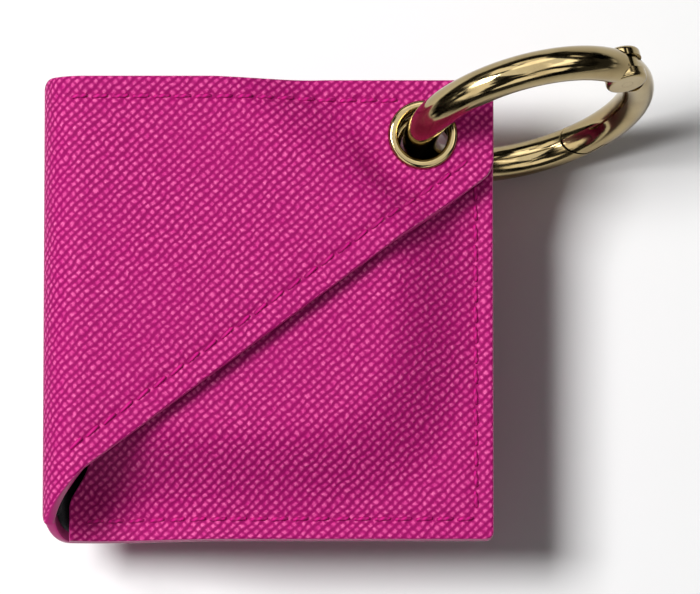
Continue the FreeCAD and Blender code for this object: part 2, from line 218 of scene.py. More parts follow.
def seam_share(x, y, crown_radius):
    """0 over the tag and on its way to the mouth, 1 at the sewn edges and round the eyelet."""
    reach = (max(x, 0.0) ** 3 + abs(y) ** 3) ** (1 / 3)
    seam = ease((reach - crown_radius) / (SEAM_RADIUS - crown_radius))
    return 1 - (1 - seam) * (1 - eyelet_seat(x, y, pocket_eye))


def edge_lift(x):
    """Height of the sewn edges above the rest face, which they leave at the fold."""
    return SEAM_LIFT * ease((x - fold_x - RISE_START) / RISE_LENGTH)


def back_level(x, y):
    """Outer face of the back, flat where it rests."""
    return max(edge_lift(x) * seam_share(x, y, BACK_CROWN_RADIUS) - FLAT_TRIM, 0.0)


def back_lining_level(x, y):
    """Inner face of the back's lining."""
    return edge_lift(x) * seam_share(x, y, BACK_CROWN_RADIUS) + HIDE


def front_level(x, y):
    """Outer face of the pocket."""
    share = seam_share(x, y, FRONT_CROWN_RADIUS)
    climb = MOUTH_CURL * min(x - fold_x - RISE_START, 0.0) ** 2
    sewn = edge_lift(x) + HIDE + SEAM_GAP + climb
    return lerp(POCKET_CROWN, sewn, share) + LEATHER


def flap_level(x, y):
    """Lower face of the flap's lining."""
    along = (x * flap_eye[0] + y * flap_eye[1]) / math.hypot(flap_eye[0], flap_eye[1])
    ramp = ease((along - RAMP_START) / (SEAM_RADIUS - RAMP_START))
    share = 1 - (1 - ramp) * (1 - eyelet_seat(x, y, flap_eye))
    return lerp(FLAP_CROWN, FLAP_SEAT, share)


def flap_top_level(x, y):
    """Outer face of the flap and of the bend that it comes out of."""
    over = min(max(fold_x - x, 0.0), fold_radius)
    return flap_level(x, y) + HIDE - fold_radius + math.sqrt(fold_radius ** 2 - over ** 2)


# Outlines of the hide, in millimetres
def diagonal(x):
    """Slanted lower edge of the flap."""
    return top - FLAP_END_EDGE - FLAP_SLOPE * (right - x)


def straight_low(x):
    """Lower edge of the back, the same at every x."""
    return -top


def draw_in(x, y, corner, slope, rising, reach):
    """Rounds the outline at a right-hand corner: points within reach of it move inwards."""
    along = (corner[0] - x) * math.hypot(1, slope)
    across = rising * (y - corner[1] + slope * (corner[0] - x))
    a = 1 - along / reach
    b = 1 - across / reach
    if a <= 0 or b <= 0:
        return x, y
    along = (1 - a * math.sqrt(1 - b * b / 2)) * reach
    across = (1 - b * math.sqrt(1 - a * a / 2)) * reach
    x = corner[0] - along / math.hypot(1, slope)
    return x, corner[1] - slope * (corner[0] - x) + rising * across


def bend_place(along, inset, rising):
    """Cross-section of the fold at a distance from the middle of its wall."""
    if along < WALL:
        return left + inset, fold_top / 2 + rising * along
    angle = (along - WALL) / fold_radius
    radius = fold_radius - inset
    return fold_x - radius * math.cos(angle), fold_top / 2 + rising * (WALL + radius * math.sin(angle))


def corner_drop(x, radius):
    """How far a rounded outer corner has drawn the edge in at x."""
    over = max(left + radius - x, 0.0)
    return radius - math.sqrt(max(radius ** 2 - over ** 2, 0.0))


def bend_ends(along, rising, setback):
    """Lowest and highest y of the fold at a distance from the middle of its wall."""
    x = bend_place(along, 0, rising)[0]
    low = -top + corner_drop(x, FOLD_CORNER_RADIUS)
    high = top - corner_drop(x, CORNER_RADIUS)
    if rising > 0:
        angle = min((BEND - along) / fold_radius, math.pi / 2)
        low = max(low, diagonal(fold_x) - WRAP_SLOPE * fold_radius * angle)
    return low + setback, high - setback


# Stitch rows, as places in the plan
def row_between(start, end):
    """Evenly spaced stitch centres with their direction."""
    pitch = sizes().stitch_pitch / MM
    length = math.hypot(end[0] - start[0], end[1] - start[1])
    count = int(length / pitch)
    way = ((end[0] - start[0]) / length, (end[1] - start[1]) / length)
    first = (length - (count - 1) * pitch) / 2
    places = []
    for i in range(count):
        gone = first + i * pitch
        places.append((start[0] + way[0] * gone, start[1] + way[1] * gone, way[0], way[1]))
    return places


ROW_INSET = 2.2
SIDE_INSET = 1.9
DIAGONAL_INSET = 2.6
ROW_START = 0.7
BEND_ROW = 3.2
TOP_ROW_END = 14.7
EAR_ROW_START = 1.6
SIDE_ROW_END = 3.0
EYELET_CLEAR = 5.0


def flap_rows(onto_bend=0.0):
    """The rows along the top and the slant of the flap; outside, they start on the bend."""
    drop = DIAGONAL_INSET * math.hypot(1, FLAP_SLOPE)
    start_x = fold_x + ROW_START - onto_bend
    end_x = right - SIDE_INSET
    slanted = row_between((start_x, diagonal(start_x) + drop), (end_x, diagonal(end_x) + drop))
    straight = row_between((start_x, top - ROW_INSET), (TOP_ROW_END, top - ROW_INSET))
    return straight + slanted


def pocket_rows():
    """The rows that sew the pocket to the back, below, at the side and above."""
    start_x = ear_x + EAR_ROW_START
    side_x = right - SIDE_INSET
    row_y = top - ROW_INSET
    low = row_between((start_x, -row_y), (side_x, -row_y))
    side = row_between((side_x, -row_y), (side_x, top - SIDE_ROW_END))
    high = row_between((start_x, row_y), (pocket_eye[0] - EYELET_CLEAR, row_y))
    return low + side + high


GROOVE_DEPTH = 0.10
GROOVE_WIDTH = 0.75
HOLE_DEPTH = 0.28
PRICK_WIDTH = 0.42


class StitchDents:
    """The grooves and needle holes that stitch rows leave in the hide."""

    def __init__(self, rows):
        self.cell = sizes().stitch_pitch / MM
        self.half = sizes().stitch_length / MM / 2
        self.buckets = {}
        for stitch in rows:
            key = (int(stitch[0] // self.cell), int(stitch[1] // self.cell))
            self.buckets.setdefault(key, []).append(stitch)

    def depth(self, x, y):
        """How deep the hide is dented at a place in the plan."""
        column = int(x // self.cell)
        row = int(y // self.cell)
        groove = 0.0
        prick = 0.0
        for i in (-1, 0, 1):
            for j in (-1, 0, 1):
                for cx, cy, wx, wy in self.buckets.get((column + i, row + j), ()):
                    along = (x - cx) * wx + (y - cy) * wy
                    aside = (y - cy) * wx - (x - cx) * wy
                    beyond = max(abs(along) - self.half, 0.0)
                    groove = max(groove, math.exp(-(aside ** 2 + beyond ** 2) / GROOVE_WIDTH ** 2))
                    tip = (abs(along) - self.half) ** 2 + aside ** 2
                    prick = max(prick, math.exp(-tip / PRICK_WIDTH ** 2))
        return GROOVE_DEPTH * groove + HOLE_DEPTH * prick


def no_dents(x, y):
    """The depth where nothing is sewn."""
    return 0.0


# Modelling helpers
def deselect():
    for item in bpy.context.selected_objects:
        item.select_set(False)


def only(item):
    deselect()
    item.select_set(True)
    bpy.context.view_layer.objects.active = item


def apply_modifier(item, kind, **values):
    only(item)
    modifier = item.modifiers.new(kind.title(), kind)
    for key, value in values.items():
        setattr(modifier, key, value)
    bpy.ops.object.modifier_apply(modifier=modifier.name)


@contextmanager
def editing(item):
    """Edit mode on one mesh, and object mode again afterwards."""
    only(item)
    bpy.ops.object.mode_set(mode="EDIT")
    yield
    bpy.ops.object.mode_set(mode="OBJECT")


def select_faces(item, wanted):
    """Selects the faces of a mesh for which wanted(face) holds, and no others."""
    with editing(item):
        bpy.ops.mesh.select_mode(type="FACE")
        bpy.ops.mesh.select_all(action="DESELECT")
    for face in item.data.polygons:
        face.select = wanted(face)


def halve_corners(item):
    """Cuts the four corner faces in two, as a corner on a rounded outline has no angle to bevel."""
    used = {}
    for face in item.data.polygons:
        for index in face.vertices:
            used[index] = used.get(index, 0) + 1
    select_faces(item, lambda face: any(used[index] == 1 for index in face.vertices))
    with editing(item):
        bpy.ops.mesh.quads_convert_to_tris(quad_method="BEAUTY")


def grid_sheet(name, columns, rows, place, outward):
    """A grid laid where place(u, v) says, with the unrolled hide as its UV map in millimetres."""
    deselect()
    bpy.ops.mesh.primitive_grid_add(x_subdivisions=columns, y_subdivisions=rows, size=2)
    item = bpy.context.object
    item.name = name
    item.data.name = name
    unrolled = []
    for vertex in item.data.vertices:
        u = (vertex.co.x + 1) / 2
        v = (vertex.co.y + 1) / 2
        x, y, z, along = place(u, v)
        vertex.co = (x * MM, y * MM, z * MM)
        unrolled.append((along, y))
    layer = item.data.uv_layers[0]
    layer.name = "unrolled"
    for loop in item.data.loops:
        layer.data[loop.index].uv = unrolled[loop.vertex_index]
    item.data.update()
    far = max(item.data.polygons, key=lambda face: face.center.x)
    if far.normal.z * outward < 0:
        with editing(item):
            bpy.ops.mesh.select_all(action="SELECT")
            bpy.ops.mesh.flip_normals()
    halve_corners(item)
    return item


def pierce(item, eye):
    """Opens the sheet for an eyelet and rounds the opening."""
    def off_centre(place):
        return place.x / MM - eye[0], place.y / MM - eye[1]

    select_faces(item, lambda face: math.hypot(*off_centre(face.center)) < HOLE_REACH)
    with editing(item):
        bpy.ops.mesh.delete(type="FACE")
    used = {}
    for face in item.data.polygons:
        for key in face.edge_keys:
            used[key] = used.get(key, 0) + 1
    rim = {index for key, count in used.items() if count == 1 for index in key}
    for index in rim:
        vertex = item.data.vertices[index]
        dx, dy = off_centre(vertex.co)
        near = math.hypot(dx, dy)
        if near < HOLE_REACH + RIM_CATCH:
            vertex.co.x = (eye[0] + dx / near * HOLE_RADIUS) * MM
            vertex.co.y = (eye[1] + dy / near * HOLE_RADIUS) * MM


def is_split(edge):
    """Whether an edge lies where the two halves of a hide meet on the wall of the fold."""
    low, high = (vertex.co / MM for vertex in edge.verts)
    flat = abs(low.z - high.z) < LEVEL_BAND
    halfway = abs((low.z + high.z - fold_top) / 2) < SPLIT_BAND
    return flat and halfway and (low.x + high.x) / 2 < left + HIDE + SPLIT_DEPTH


def is_pierced(edge, eye):
    """Whether an edge is on the rim of an eyelet's opening."""
    middle = (edge.verts[0].co + edge.verts[1].co) / 2 / MM
    return math.hypot(middle.x - eye[0], middle.y - eye[1]) < HOLE_REACH + RIM_BAND


def round_edges(item, width, eye, rim):
    """Rounds the cut edges of a sheet: those between its rim faces and its two sides."""
    mesh = bmesh.new()
    mesh.from_mesh(item.data)
    weight = mesh.edges.layers.float.new("bevel_weight_edge")
    for edge in mesh.edges:
        cut = sum(1 for face in edge.link_faces if face.index in rim)
        if cut == 1 and not is_split(edge) and not is_pierced(edge, eye):
            edge[weight] = 1.0
    mesh.to_mesh(item.data)
    mesh.free()
    apply_modifier(item, "BEVEL", limit_method="WEIGHT", width=width * MM, segments=EDGE_STEPS,
                   use_clamp_overlap=False)


def thicken(item, thickness, **values):
    """Gives a sheet its thickness; returns the numbers of the faces round its cut edge."""
    sides = 2 * len(item.data.polygons)
    apply_modifier(item, "SOLIDIFY", thickness=thickness * MM, offset=-1, use_even_offset=False,
                   **values)
    return set(range(sides, len(item.data.polygons)))


def smooth(item, angle=40):
    only(item)
    bpy.ops.object.shade_smooth_by_angle(angle=math.radians(angle))


def finish_materials(item, *materials):
    """Gives a piece these materials and no others."""
    item.data.materials.clear()
    for material in materials:
        item.data.materials.append(material)


# Node helpers
def new_material(name):
    material = bpy.data.materials.new(name)
    material.use_nodes = True
    tree = material.node_tree
    shader = tree.nodes["Principled BSDF"]
    return material, tree, shader


def node(tree, kind, **values):
    made = tree.nodes.new(kind)
    for key, value in values.items():
        setattr(made, key, value)
    return made


def feed(tree, socket, value):
    """Links an output to a socket, or sets the socket to a constant."""
    if hasattr(value, "is_output"):
        tree.links.new(value, socket)
    else:
        socket.default_value = value


def math_node(tree, operation, first, second=None):
    made = node(tree, "ShaderNodeMath", operation=operation)
    feed(tree, made.inputs[0], first)
    if second is not None:
        feed(tree, made.inputs[1], second)
    return made.outputs[0]


def mix_colour(tree, factor, first, second, blend="MIX"):
    made = node(tree, "ShaderNodeMix", data_type="RGBA", blend_type=blend)
    for index, value in ((0, factor), (6, first), (7, second)):
        feed(tree, made.inputs[index], value)
    return made.outputs[2]


def spread(tree, value, low, high, to_low, to_high):
    made = node(tree, "ShaderNodeMapRange")
    tree.links.new(value, made.inputs[0])
    for socket, number in zip(made.inputs[1:5], (low, high, to_low, to_high)):
        socket.default_value = number
    return made.outputs[0]


def noise(tree, place, scale, detail=3.0, rough=0.55):
    made = node(tree, "ShaderNodeTexNoise")
    tree.links.new(place, made.inputs["Vector"])
    feed(tree, made.inputs["Scale"], scale)
    made.inputs["Detail"].default_value = detail
    made.inputs["Roughness"].default_value = rough
    return made.outputs["Fac"]


def bump(tree, shader, height, strength, distance):
    made = node(tree, "ShaderNodeBump")
    made.inputs["Strength"].default_value = strength
    made.inputs["Distance"].default_value = distance * MM
    tree.links.new(height, made.inputs["Height"])
    tree.links.new(made.outputs[0], shader.inputs["Normal"])


def new_group(name, inputs, outputs):
    """A shader node group with its named sockets; returns its tree, input and output nodes."""
    tree = bpy.data.node_groups.new(name, "ShaderNodeTree")
    for label, kind, default in inputs:
        socket = tree.interface.new_socket(name=label, in_out="INPUT", socket_type=kind)
        if default is not None:
            socket.default_value = default
    for label, kind in outputs:
        tree.interface.new_socket(name=label, in_out="OUTPUT", socket_type=kind)
    return tree, tree.nodes.new("NodeGroupInput"), tree.nodes.new("NodeGroupOutput")


def use_group(tree, name, maker, **values):
    """Adds a node group to a tree; the group is made where it's first used."""
    made = tree.nodes.new("ShaderNodeGroup")
    made.node_tree = bpy.data.node_groups.get(name) or maker(name)
    for key, value in values.items():
        feed(tree, made.inputs[key.replace("_", " ")], value)
    return made


# Embossing of the hide
GRAIN_ANGLE = -43.0
GRAIN_WANDER = 0.95
EDGE_WANDER = 1.2
PEAK_POWER = 2.2
FINE_SHARE = 0.35


def hide_grain_group(name):
    """Embossing: two sets of uneven lines cross each other and leave raised cells between them; the
    peaks of the cells, in patches, also give the mask of a painted highlight.
    """
    tree, given, out = new_group(
        name,
        [("Place", "NodeSocketVector", None), ("Pitch", "NodeSocketFloat", 0.72),
         ("Wander", "NodeSocketFloat", 0.35)],
        [("Height", "NodeSocketFloat"), ("Crest", "NodeSocketFloat"), ("Painted Highlight", "NodeSocketFloat"),
         ("Cloud", "NodeSocketFloat")])
    place = given.outputs["Place"]
    drift = node(tree, "ShaderNodeTexNoise")
    drift.inputs["Scale"].default_value = 0.55
    drift.inputs["Detail"].default_value = 5
    drift.inputs["Roughness"].default_value = 0.62
    tree.links.new(place, drift.inputs["Vector"])
    centred = node(tree, "ShaderNodeVectorMath", operation="SUBTRACT")
    tree.links.new(drift.outputs["Color"], centred.inputs[0])
    centred.inputs[1].default_value = (0.5, 0.5, 0.5)
    scaled = node(tree, "ShaderNodeVectorMath", operation="SCALE")
    tree.links.new(centred.outputs[0], scaled.inputs[0])
    tree.links.new(given.outputs["Wander"], scaled.inputs["Scale"])
    moved = node(tree, "ShaderNodeVectorMath", operation="ADD")
    tree.links.new(place, moved.inputs[0])
    tree.links.new(scaled.outputs[0], moved.inputs[1])
    turned = node(tree, "ShaderNodeVectorRotate", rotation_type="Z_AXIS")
    turned.inputs["Angle"].default_value = math.radians(GRAIN_ANGLE)
    tree.links.new(moved.outputs[0], turned.inputs["Vector"])
    split = node(tree, "ShaderNodeSeparateXYZ")
    tree.links.new(turned.outputs[0], split.inputs[0])
    turn = math_node(tree, "DIVIDE", 2 * math.pi, given.outputs["Pitch"])
    rows = math_node(tree, "SINE", math_node(tree, "MULTIPLY", split.outputs[1], turn))
    breaks = math_node(tree, "SINE", math_node(tree, "MULTIPLY", split.outputs[0], turn))
    crest = spread(tree, rows, -0.85, 0.6, 0.08, 1)
    dash = spread(tree, breaks, -0.95, 0.5, 0.3, 1)
    fine = noise(tree, place, 2.6, 4, 0.6)
    worn = spread(tree, fine, 0.3, 0.7, 0.7, 1.06)
    raised = math_node(tree, "MULTIPLY", math_node(tree, "MULTIPLY", crest, dash), worn)
    # Painted highlight: the peaks of the raised cells, brighter in lit patches, mark where the hide's
    # colour is paled as if light caught them.
    peak = math_node(tree, "POWER", raised, PEAK_POWER)
    lit = spread(tree, noise(tree, place, 1.1, 3, 0.6), 0.36, 0.64, 0.24, 0.88)
    tree.links.new(math_node(tree, "MULTIPLY", peak, lit), out.inputs["Painted Highlight"])
    height = math_node(tree, "ADD", raised, math_node(tree, "MULTIPLY", fine, FINE_SHARE))
    tree.links.new(height, out.inputs["Height"])
    tree.links.new(raised, out.inputs["Crest"])
    tree.links.new(noise(tree, place, 0.09, 2, 0.5), out.inputs["Cloud"])
    return tree


def tarnish_group(name):
    """Cloudy dulling and fine scratches on a plated or moulded surface."""
    tree, given, out = new_group(
        name,
        [("Place", "NodeSocketVector", None), ("Amount", "NodeSocketFloat", 0.3),
         ("Cloud Scale", "NodeSocketFloat", 350.0), ("Scratch Scale", "NodeSocketFloat", 2600.0)],
        [("Mask", "NodeSocketFloat"), ("Scratch", "NodeSocketFloat")])
    place = given.outputs["Place"]
    cloud = noise(tree, place, given.outputs["Cloud Scale"], 4, 0.5)
    mask = spread(tree, cloud, 0.42, 0.72, 0, 1)
    tree.links.new(math_node(tree, "MULTIPLY", mask, given.outputs["Amount"]), out.inputs["Mask"])
    stretched = node(tree, "ShaderNodeMapping")
    stretched.inputs["Scale"].default_value = (1, 0.12, 0.12)
    tree.links.new(place, stretched.inputs["Vector"])
    scratch = noise(tree, stretched.outputs[0], given.outputs["Scratch Scale"], 2, 0.5)
    tree.links.new(scratch, out.inputs["Scratch"])
    return tree


def unrolled_place(tree):
    return node(tree, "ShaderNodeUVMap", uv_map="unrolled").outputs[0]


def object_place(tree):
    return node(tree, "ShaderNodeTexCoord").outputs["Object"]


def shade(colour, share):
    """A colour made darker or paler."""
    return (colour[0] * share, colour[1] * share, colour[2] * share, 1)


def grey(value):
    return (value, value, value, 1)


# Materials
STEEL = (0.62, 0.62, 0.63, 1)
COPPER = (0.82, 0.42, 0.24, 1)
TRAY = (0.02, 0.02, 0.022, 1)
LACQUER = (0.01, 0.09, 0.04, 1)
LINING_THREAD = (0.09, 0.085, 0.09, 1)


def made_once(maker):
    """Hands out the material of that name if there is one, and has it made if not."""
    def give(name, *given, **values):
        return bpy.data.materials.get(name) or maker(name, *given, **values)

    return give


@made_once
def hide_material(name):
    """Embossed hide: painted shade darkens the valleys, and painted light and a painted highlight make
    the crests paler; the crests are also glossier.
    """
    material, tree, shader = new_material(name)
    base = colours().hide
    grain = use_group(tree, "hide_grain", hide_grain_group, Place=unrolled_place(tree),
                      Pitch=sizes().grain_pitch / MM, Wander=GRAIN_WANDER)
    # Painted shade: a shaded copy of the hide's colour in the valleys of the grain, and a lit copy on
    # its crests.
    body = mix_colour(tree, grain.outputs["Crest"], shade(base, 0.46), shade(base, 1.12))
    # Painted highlight: a paler, whiter copy of the hide's colour laid on the peaks of the crests.
    painted_highlight = (min(base[0] * 1.75, 1), base[1] + 0.148, min(base[2] * 2.3, 1), 1)
    colour = mix_colour(tree, grain.outputs["Painted Highlight"], body, painted_highlight)
    clouded = spread(tree, grain.outputs["Cloud"], 0.35, 0.65, 0.0, 0.22)
    tree.links.new(mix_colour(tree, clouded, colour, shade(base, 0.75)), shader.inputs["Base Color"])
    tree.links.new(spread(tree, grain.outputs["Crest"], 0, 1, 0.62, 0.3), shader.inputs["Roughness"])
    shader.inputs["Specular IOR Level"].default_value = 0.05
    bump(tree, shader, grain.outputs["Height"], 0.75, 0.09)
    return material


@made_once
def edge_material(name):
    """Painted cut edge of the hide."""
    material, tree, shader = new_material(name)
    base = colours().hide
    grain = use_group(tree, "hide_grain", hide_grain_group, Place=unrolled_place(tree),
                      Pitch=sizes().grain_pitch / MM * 2, Wander=EDGE_WANDER)
    colour = mix_colour(tree, grain.outputs["Cloud"], shade(base, 0.72), shade(base, 0.95))
    tree.links.new(colour, shader.inputs["Base Color"])
    tree.links.new(spread(tree, grain.outputs["Cloud"], 0.3, 0.7, 0.3, 0.42), shader.inputs["Roughness"])
    bump(tree, shader, grain.outputs["Height"], 0.2, 0.05)
    return material


@made_once
def flesh_material(name):
    """Inner side of the hide, brushed and dull."""
    material, tree, shader = new_material(name)
    base = colours().hide
    fuzz = noise(tree, unrolled_place(tree), 3.0, 5, 0.7)
    tree.links.new(mix_colour(tree, fuzz, shade(base, 0.3), shade(base, 0.55)),
                   shader.inputs["Base Color"])
    tree.links.new(spread(tree, fuzz, 0, 1, 0.8, 0.95), shader.inputs["Roughness"])
    bump(tree, shader, fuzz, 0.5, 0.08)
    return material


@made_once
def lining_material(name):
    """Charcoal brushed felt with short matted fibres."""
    material, tree, shader = new_material(name)
    base = colours().lining
    place = unrolled_place(tree)
    fibre = noise(tree, place, 5.5, 6, 0.72)
    matted = noise(tree, place, 0.5, 3, 0.6)
    lifted = (base[0] * 2.1, base[1] * 2.1, base[2] * 2.15, 1)
    colour = mix_colour(tree, spread(tree, fibre, 0.35, 0.7, 0, 1), shade(base, 0.6), lifted)
    dulled = spread(tree, matted, 0.35, 0.7, 0, 0.4)
    tree.links.new(mix_colour(tree, dulled, colour, shade(base, 1.25)), shader.inputs["Base Color"])
    tree.links.new(spread(tree, fibre, 0, 1, 0.85, 1.0), shader.inputs["Roughness"])
    shader.inputs["Specular IOR Level"].default_value = 0.1
    shader.inputs["Sheen Weight"].default_value = 0.04
    shader.inputs["Sheen Roughness"].default_value = 0.5
    bump(tree, shader, fibre, 0.6, 0.12)
    return material


@made_once
def thread_material(name, colour):
    """Twisted sewing thread, with painted shade between its plies and a lit, paler copy of its colour on
    them.
    """
    material, tree, shader = new_material(name)
    place = object_place(tree)
    turned = node(tree, "ShaderNodeMapping")
    turned.inputs["Rotation"].default_value = (0, 0, math.radians(38))
    tree.links.new(place, turned.inputs["Vector"])
    ply = node(tree, "ShaderNodeTexWave", wave_type="BANDS", bands_direction="X")
    ply.inputs["Scale"].default_value = 520
    ply.inputs["Distortion"].default_value = 1.2
    tree.links.new(turned.outputs[0], ply.inputs["Vector"])
    # Painted shade: the thread's colour darkens between the plies and pales on them, along the same
    # bands as its bump.
    tree.links.new(mix_colour(tree, ply.outputs["Fac"], shade(colour, 0.65), shade(colour, 1.25)),
                   shader.inputs["Base Color"])
    tree.links.new(spread(tree, ply.outputs["Fac"], 0, 1, 0.7, 0.5), shader.inputs["Roughness"])
    shader.inputs["Specular IOR Level"].default_value = 0.12
    bump(tree, shader, ply.outputs["Fac"], 0.5, 0.06)
    return material


@made_once
def metal_material(name, colour, rough, tarnish, scratch):
    """Plated or bare metal with cloudy tarnish and fine scratches."""
    material, tree, shader = new_material(name)
    wear = use_group(tree, "surface_tarnish", tarnish_group, Place=object_place(tree), Amount=tarnish)
    shader.inputs["Metallic"].default_value = 1.0
    dull = (colour[0] * 0.62, colour[1] * 0.55, colour[2] * 0.45, 1)
    tree.links.new(mix_colour(tree, wear.outputs["Mask"], colour, dull), shader.inputs["Base Color"])
    tree.links.new(spread(tree, wear.outputs["Mask"], 0, 1, rough, rough + 0.25),
                   shader.inputs["Roughness"])
    bump(tree, shader, wear.outputs["Scratch"], scratch, 0.02)
    return material


@made_once
def plastic_material(name, colour, rough, coat):
    """Moulded plastic with a faint flow pattern."""
    material, tree, shader = new_material(name)
    wear = use_group(tree, "surface_tarnish", tarnish_group, Place=object_place(tree),
                     Amount=0.25, Cloud_Scale=120.0, Scratch_Scale=1500.0)
    tree.links.new(mix_colour(tree, wear.outputs["Mask"], colour, shade(colour, 0.93)),
                   shader.inputs["Base Color"])
    tree.links.new(spread(tree, wear.outputs["Scratch"], 0.2, 0.8, rough, rough + 0.08),
                   shader.inputs["Roughness"])
    shader.inputs["Coat Weight"].default_value = coat
    shader.inputs["Coat Roughness"].default_value = 0.08
    bump(tree, shader, wear.outputs["Scratch"], 0.05, 0.02)
    return material


def gold_material():
    plating = tuple(colours().metal)
    return metal_material("pale_gold_plating", plating, rough=0.09, tarnish=0.35, scratch=0.05)


def steel_material():
    return metal_material("satin_steel", STEEL, rough=0.26, tarnish=0.3, scratch=0.2)


# The sheets, each given as the place of its visible face
COLUMNS = 112
BEND_COLUMNS = 26
ROWS = 128
LINING_COLUMNS = (COLUMNS + BEND_COLUMNS) // 2
LINING_ROWS = ROWS // 2
EDGE_ROW = 0.45
STEEPEST_RIM = 0.05
ROUNDING = 1e-9

# Numbers of a sheet's materials, after its outer face
CUT_EDGE = 1
FLESH_SIDE = 2

# How a half of the hide is cut: its bend rises or falls, and its lower edge may slant
Cut = namedtuple("Cut", "rising low_edge slope low_radius eye")
BACK_CUT = Cut(-1, straight_low, 0, CORNER_RADIUS, pocket_eye)
FLAP_CUT = Cut(1, diagonal, FLAP_SLOPE, FLAP_CORNER_RADIUS, flap_eye)


def wide_ends(v, rows, height):
    """Share of the way up a panel whose first and last rows are wide enough for a rounded edge."""
    first = 1 / rows
    end = max(EDGE_ROW / height, first)
    if v < first:
        return v / first * end
    if v > 1 - first:
        return 1 - (1 - v) / first * end
    return lerp(end, 1 - end, (v - first) / (1 - 2 * first))


def half_hide(cut, level, inset=0.0, setback=0.0, rows=ROWS, dent=no_dents):
    """Place function for half the fold and the panel that follows it."""
    share = BEND_COLUMNS / (BEND_COLUMNS + COLUMNS)
    edge_x = right - setback
    low_start, high_edge = bend_ends(BEND, cut.rising, setback)
    low_end = cut.low_edge(edge_x) + setback * math.hypot(1, cut.slope)
    lean = (low_end - low_start) / (edge_x - fold_x)
    reach = cut.low_radius * math.tan((math.pi / 2 - math.atan(lean)) / 2)

    def on_bend(along, v):
        low, high = bend_ends(along, cut.rising, setback)
        y = lerp(low, high, wide_ends(v, rows, high - low))
        depth = dent(bend_place(along, inset, cut.rising)[0], y)
        x, z = bend_place(along, inset + depth, cut.rising)
        return x, y, z, along

    def on_panel(gone, v):
        x = lerp(fold_x, edge_x, gone)
        low = lerp(low_start, low_end, gone)
        y = lerp(low, high_edge, wide_ends(v, rows, high_edge - low))
        x, y = draw_in(x, y, (edge_x, low_end), lean, 1, reach)
        x, y = draw_in(x, y, (edge_x, high_edge), 0, -1, CORNER_RADIUS)
        return x, y, level(x, y) - cut.rising * dent(x, y), BEND + x - fold_x

    def place(u, v):
        if u < share - ROUNDING:
            return on_bend(BEND * u / share, v)
        return on_panel((u - share) / (1 - share), v)

    return place


def sheet_materials(item):
    finish_materials(item, hide_material("embossed_hide"), edge_material("painted_edge"),
                     flesh_material("brushed_flesh_side"))


def plain_area(item):
    """Area of a sheet's face before it gets its thickness, in square metres."""
    return sum(face.area for face in item.data.polygons)


def cut_hide(name, cut, level, rows):
    """A half of the hide, pierced, thickened and with rounded edges; also gives its area."""
    place = half_hide(cut, level, dent=StitchDents(rows).depth)
    item = grid_sheet(name, COLUMNS + BEND_COLUMNS, ROWS, place, cut.rising)
    pierce(item, cut.eye)
    area = plain_area(item)
    sheet_materials(item)
    rim = thicken(item, LEATHER, material_offset=FLESH_SIDE, material_offset_rim=CUT_EDGE)
    round_edges(item, HIDE_EDGE, cut.eye, rim)
    smooth(item)
    return item, area


class HOLDER_OT_back_hide(bpy.types.Operator):
    """Models the hide of the back and the lower half of the fold"""
    bl_idname = "holder.back_hide"
    bl_label = "Back hide"

    def execute(self, context):
        item, area = cut_hide("back_hide", BACK_CUT, back_level, pocket_rows())
        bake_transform(item)
        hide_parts("back_leather", "fold_leather")
        return {"FINISHED"}


class HOLDER_OT_flap_hide(bpy.types.Operator):
    """Models the hide of the flap and the upper half of the fold"""
    bl_idname = "holder.flap_hide"
    bl_label = "Flap hide"

    def execute(self, context):
        item, area = cut_hide("flap_hide", FLAP_CUT, flap_top_level, flap_rows(BEND_ROW))
        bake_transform(item)
        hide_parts("flap_leather")
        return {"FINISHED"}


class HOLDER_OT_lining(bpy.types.Operator):
    """Models the brushed lining of the back, the fold and the flap"""
    bl_idname = "holder.lining"
    bl_label = "Lining"

    def execute(self, context):
        back = self.lay("back_lining_felt", BACK_CUT, back_lining_level)
        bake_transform(back)
        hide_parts("back_lining", "fold_lining")
        flap = self.lay("flap_lining_felt", FLAP_CUT, flap_level)
        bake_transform(flap)
        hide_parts("flap_lining")
        return {"FINISHED"}

    def lay(self, name, cut, level):
        """A half of the lining, set back from the edge of the hide that it's bonded to."""
        place = half_hide(cut, level, HIDE, LINING_INSET, LINING_ROWS)
        item = grid_sheet(name, LINING_COLUMNS, LINING_ROWS, place, -cut.rising)
        pierce(item, cut.eye)
        finish_materials(item, lining_material("charcoal_felt"))
        rim = thicken(item, LINING - BOND)
        round_edges(item, LINING_EDGE, cut.eye, rim)
        smooth(item)
        return item


